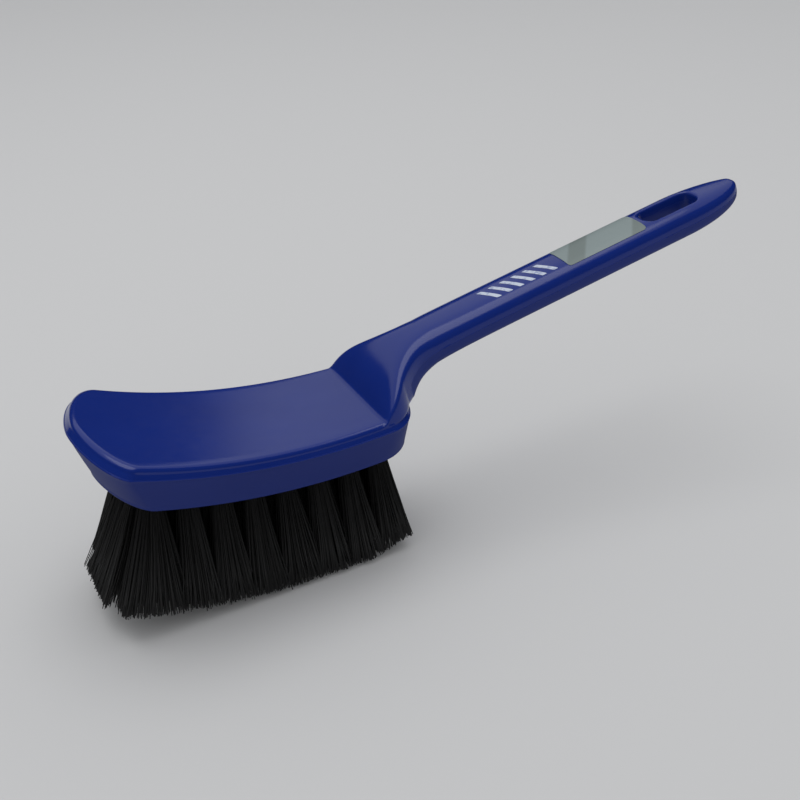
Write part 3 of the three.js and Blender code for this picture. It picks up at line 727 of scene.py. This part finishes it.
# Anchor wires: short lengths of flat brass wire, one across the fold of each tuft at the bottom of
# its hole, cut and driven by the filling machine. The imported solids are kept. Brass drawn through a
# die has fine lines along the wire and a light tarnish.
DRAW_LINE_WIDTH = 0.15
brass, tree = new_material("drawn_flat_brass_wire")
place = add_node(tree, "ShaderNodeTexCoord").outputs["Object"]
drawn = add_node(tree, "ShaderNodeMapping", {"Vector": place, "Scale": (0.1, 1.0, 1.0)})
lines = add_node(tree, "ShaderNodeTexNoise", {
    "Vector": drawn.outputs["Vector"], "Scale": 1 / (DRAW_LINE_WIDTH * MM), "Detail": 3.0,
})
tarnish = add_node(tree, "ShaderNodeMix", {
    0: lines.outputs["Fac"], 6: linear("#8f743c"), 7: linear("#c7a862"),
}, data_type="RGBA")
dull = add_node(tree, "ShaderNodeMapRange", {"Value": lines.outputs["Fac"], "To Min": 0.28, "To Max": 0.5})
shader = add_node(tree, "ShaderNodeBsdfPrincipled", {
    "Base Color": tarnish.outputs[2], "Roughness": dull.outputs["Result"], "Metallic": 1.0,
})
add_node(tree, "ShaderNodeOutputMaterial", {"Surface": shader.outputs["BSDF"]})
for name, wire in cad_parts.items():
    if name.startswith("anchor_wire"):
        wire.data.materials.clear()
        wire.data.materials.append(brass)

# Handle label: a pale printed film with round corners, stuck on the crown of the handle in front of
# the slot. It is bare but for a slanting band.
LABEL_FROM = 69.5
LABEL_TO = 102.5
LABEL_WIDTH = 14.0
LABEL_LIFT = 0.02
LABEL_THICKNESS = 0.22
LABEL_CORNER = 1.4
FILM_CORNER_POINTS = 7
FILM_MIDDLE_POINTS = 12
FILM_ACROSS_POINTS = 21
FILM_EDGE_SHARE = 0.6
FILM_SHARP_DEGREES = 40


def film_on_handle(start, end, middle, width, corner, slant, lift, thickness):
    """Closed thin film on the handle's crown: across runs over the top and back underneath, the
    half-width follows a circle's quarter at each corner, and slant moves a point along as it goes
    across. Heights are the crown's plus the lift, with the thickness eased in at the edges."""
    bend = np.linspace(0, math.pi / 2, FILM_CORNER_POINTS)
    station = np.concatenate([
        start + corner * (1 - np.cos(bend)),
        np.linspace(start + corner, end - corner, FILM_MIDDLE_POINTS + 2)[1:-1],
        end - corner * (1 - np.sin(bend)),
    ])[:, None]
    inside = np.minimum(station - start, end - station)
    short = corner - np.sqrt(np.clip(corner ** 2 - np.clip(corner - inside, 0, None) ** 2, 0, None))
    half = width / 2 - short
    over = np.linspace(-1, 1, FILM_ACROSS_POINTS)
    around = np.concatenate([over, over[-2:0:-1]])
    across = middle + half * around
    x = station + slant * (across - middle)
    rise = np.where(np.arange(len(around)) < len(over), lift + thickness, lift)
    rise[[0, len(over) - 1]] = lift + FILM_EDGE_SHARE * thickness
    return handle_to_row(x, across, handle_face(x, across, 1) + rise)


film = film_on_handle(LABEL_FROM, LABEL_TO, 0.0, LABEL_WIDTH, LABEL_CORNER, 0.0, LABEL_LIFT, LABEL_THICKNESS)
label = new_piece("label_film_on_handle", film, capped_tubes(1, *film.shape[:2]))
shade_by_angle(label, FILM_SHARP_DEGREES)

# Satin polypropylene film: a pale grey-green coat, printed with a band on the slant, with the fine
# unevenness of the adhesive under it.
BAND_PITCH = 22.0
BAND_SLANT = math.radians(35)
ADHESIVE_GRAIN = 2.5
film_satin, tree = new_material("satin_label_film")
place = add_node(tree, "ShaderNodeTexCoord").outputs["Object"]
axis = add_node(tree, "ShaderNodeMapping", {"Vector": place, "Rotation": (0, 0, BAND_SLANT)})
parts = add_node(tree, "ShaderNodeSeparateXYZ", {"Vector": axis.outputs["Vector"]})
phase = add_node(tree, "ShaderNodeMath", {
    0: parts.outputs["X"], 1: 2 * math.pi / (BAND_PITCH * MM),
}, operation="MULTIPLY")
wave = add_node(tree, "ShaderNodeMath", {0: phase.outputs["Value"]}, operation="SINE")
band = add_node(tree, "ShaderNodeMapRange", {
    "Value": wave.outputs["Value"], "From Min": 0.55, "From Max": 0.75,
})
coat = add_node(tree, "ShaderNodeMix", {
    0: band.outputs["Result"], 6: linear("#748080"), 7: linear("#626d6b"),
}, data_type="RGBA")
uneven = add_node(tree, "ShaderNodeTexNoise", {
    "Vector": place, "Scale": 1 / (ADHESIVE_GRAIN * MM), "Detail": 2.0,
})
bump = add_node(tree, "ShaderNodeBump", {
    "Height": uneven.outputs["Fac"], "Strength": 0.2, "Distance": 0.03 * MM,
})
shader = add_node(tree, "ShaderNodeBsdfPrincipled", {
    "Base Color": coat.outputs[2], "Roughness": 0.42, "IOR": 1.49, "Normal": bump.outputs["Normal"],
})
add_node(tree, "ShaderNodeOutputMaterial", {"Surface": shader.outputs["BSDF"]})
label.data.materials.append(film_satin)
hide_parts("handle_label")
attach(label, "root")

# Printed bars: a row of plain slanting bars in pale ink, screen-printed on the crown of the handle
# between the neck and the label, as a grip mark. The ink is a few hundredths of a millimetre thick.
FIRST_BAR = 39.0
BAR_PITCH = 4.6
BAR_COUNT = 6
BAR_WIDTH = 1.9
BAR_MIDDLE = -1.5
BAR_REACH = 7.6
BAR_CORNER = 0.3
BAR_SLANT = -0.55
BAR_LIFT = 0.02
INK_THICKNESS = 0.05
bar_shape = (BAR_MIDDLE, BAR_REACH, BAR_CORNER, BAR_SLANT, BAR_LIFT, INK_THICKNESS)
bar_starts = FIRST_BAR + BAR_PITCH * np.arange(BAR_COUNT)
bars = np.stack([film_on_handle(start, start + BAR_WIDTH, *bar_shape) for start in bar_starts])
printed_bars = new_piece("printed_bars_on_handle", bars, capped_tubes(*bars.shape[:3]))
shade_by_angle(printed_bars, FILM_SHARP_DEGREES)

# Screen-printed ink: a pale, slightly bluish coat with a soft gloss, thinner where hands have rubbed it.
RUBBED_PATCH = 1.5
pale_ink, tree = new_material("screen_printed_pale_ink")
place = add_node(tree, "ShaderNodeTexCoord").outputs["Object"]
rubbed = add_node(tree, "ShaderNodeTexNoise", {
    "Vector": place, "Scale": 1 / (RUBBED_PATCH * MM), "Detail": 3.0,
})
thin = add_node(tree, "ShaderNodeMapRange", {
    "Value": rubbed.outputs["Fac"], "From Min": 0.5, "From Max": 0.8,
})
ink = add_node(tree, "ShaderNodeMix", {
    0: thin.outputs["Result"], 6: linear("#b4bccb"), 7: linear("#5d6c9c"),
}, data_type="RGBA")
shader = add_node(tree, "ShaderNodeBsdfPrincipled", {
    "Base Color": ink.outputs[2], "Roughness": 0.4, "IOR": 1.45,
})
add_node(tree, "ShaderNodeOutputMaterial", {"Surface": shader.outputs["BSDF"]})
printed_bars.data.materials.append(pale_ink)
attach(printed_bars, "root")

# Floor: the table top that the brush stands on, covered with pale matt studio paper that reaches so
# far that no edge of it is seen.
FLOOR_REACH = 40000.0
floor_mesh = bpy.data.meshes.new("studio_floor")
floor_corners = np.array([(-1, -1, 0), (1, -1, 0), (1, 1, 0), (-1, 1, 0)]) * FLOOR_REACH * MM
floor_mesh.from_pydata(floor_corners.tolist(), [], [(0, 1, 2, 3)])
floor = bpy.data.objects.new("studio_floor", floor_mesh)
bpy.context.scene.collection.objects.link(floor)
paper, tree = new_material("matt_studio_paper")
shader = add_node(tree, "ShaderNodeBsdfPrincipled", {
    "Base Color": linear("#bfbfbf"), "Roughness": 0.9, "Specular IOR Level": 0.2,
})
add_node(tree, "ShaderNodeOutputMaterial", {"Surface": shader.outputs["BSDF"]})
floor_mesh.materials.append(paper)

# Light: an even pale room, a wide soft box overhead, and a dark cloth round the table that only
# shows as the dark horizon in glossy surfaces.
world = bpy.data.worlds.new("pale_room")
world.use_nodes = True
world.node_tree.nodes.clear()
room = add_node(world.node_tree, "ShaderNodeBackground", {"Color": linear("#d0d1d3"), "Strength": 1.2})
add_node(world.node_tree, "ShaderNodeOutputWorld", {"Surface": room.outputs["Background"]})
bpy.context.scene.world = world

soft_box = bpy.data.lights.new("overhead_soft_box", "AREA")
soft_box.shape = "DISK"
soft_box.size = 1.2
soft_box.energy = 6.5
lamp = bpy.data.objects.new("overhead_soft_box", soft_box)
lamp.location = (-0.1, 0.15, 1.3)
bpy.context.scene.collection.objects.link(lamp)

CLOTH_RADIUS = 1600.0
CLOTH_FOOT_HEIGHT = 30.0
CLOTH_BACK_HEIGHT = 730.0
CLOTH_NEAR_HEIGHT = 3400.0
CLOTH_RISE_POWER = 1.5
CLOTH_FOLDS = 96
turn = np.linspace(0, 2 * math.pi, CLOTH_FOLDS + 1)[:-1]
near = (1 - np.sin(turn)) / 2
top = CLOTH_BACK_HEIGHT + (CLOTH_NEAR_HEIGHT - CLOTH_BACK_HEIGHT) * near ** CLOTH_RISE_POWER
height = np.stack([np.full(CLOTH_FOLDS, CLOTH_FOOT_HEIGHT), top])
ring = np.stack(np.broadcast_arrays(CLOTH_RADIUS * np.cos(turn), CLOTH_RADIUS * np.sin(turn), height), -1)
cloth_mesh = bpy.data.meshes.new("dark_cloth_surround")
cloth_mesh.from_pydata((ring.reshape(-1, 3) * MM).tolist(), [], closed_rings(2, CLOTH_FOLDS).tolist())
cloth = bpy.data.objects.new("dark_cloth_surround", cloth_mesh)
bpy.context.scene.collection.objects.link(cloth)
cloth.visible_camera = False
cloth.visible_diffuse = False
cloth.visible_shadow = False
felt, tree = new_material("dark_felt")
shader = add_node(tree, "ShaderNodeBsdfPrincipled", {"Base Color": linear("#1c1c1e"), "Roughness": 1.0})
add_node(tree, "ShaderNodeOutputMaterial", {"Surface": shader.outputs["BSDF"]})
cloth_mesh.materials.append(felt)

# Camera: a hand's height above the table, turned to the brush's near side and tipped a little, with
# the lens worked out for a square picture 800 pixels wide.
VIEW_TURN = math.radians(23.958)
VIEW_DOWN = math.radians(28.839)
VIEW_TIP = math.radians(-3.775)
FOCAL_PIXELS = 1201.6
PICTURE_PIXELS = 800
SENSOR_WIDTH = 36
CAMERA_PLACE = np.array([-159.617, -333.500, 248.803])
right = np.array([math.cos(VIEW_TURN), -math.sin(VIEW_TURN), 0])
back = np.array([
    -math.sin(VIEW_TURN) * math.cos(VIEW_DOWN),
    -math.cos(VIEW_TURN) * math.cos(VIEW_DOWN),
    math.sin(VIEW_DOWN),
])
up = np.cross(back, right)
tipped_right = math.cos(VIEW_TIP) * right + math.sin(VIEW_TIP) * up
tipped_up = math.cos(VIEW_TIP) * up - math.sin(VIEW_TIP) * right
stand = np.eye(4)
stand[:3] = np.stack([tipped_right, tipped_up, back, CAMERA_PLACE * MM], -1)
lens = bpy.data.cameras.new("view_camera")
lens.sensor_width = SENSOR_WIDTH
lens.lens = FOCAL_PIXELS / PICTURE_PIXELS * SENSOR_WIDTH
lens.clip_start = 0.01
camera = bpy.data.objects.new("view_camera", lens)
camera.matrix_world = Matrix(stand.tolist())
bpy.context.scene.collection.objects.link(camera)
bpy.context.scene.camera = camera
bpy.context.scene.view_settings.view_transform = "Standard"
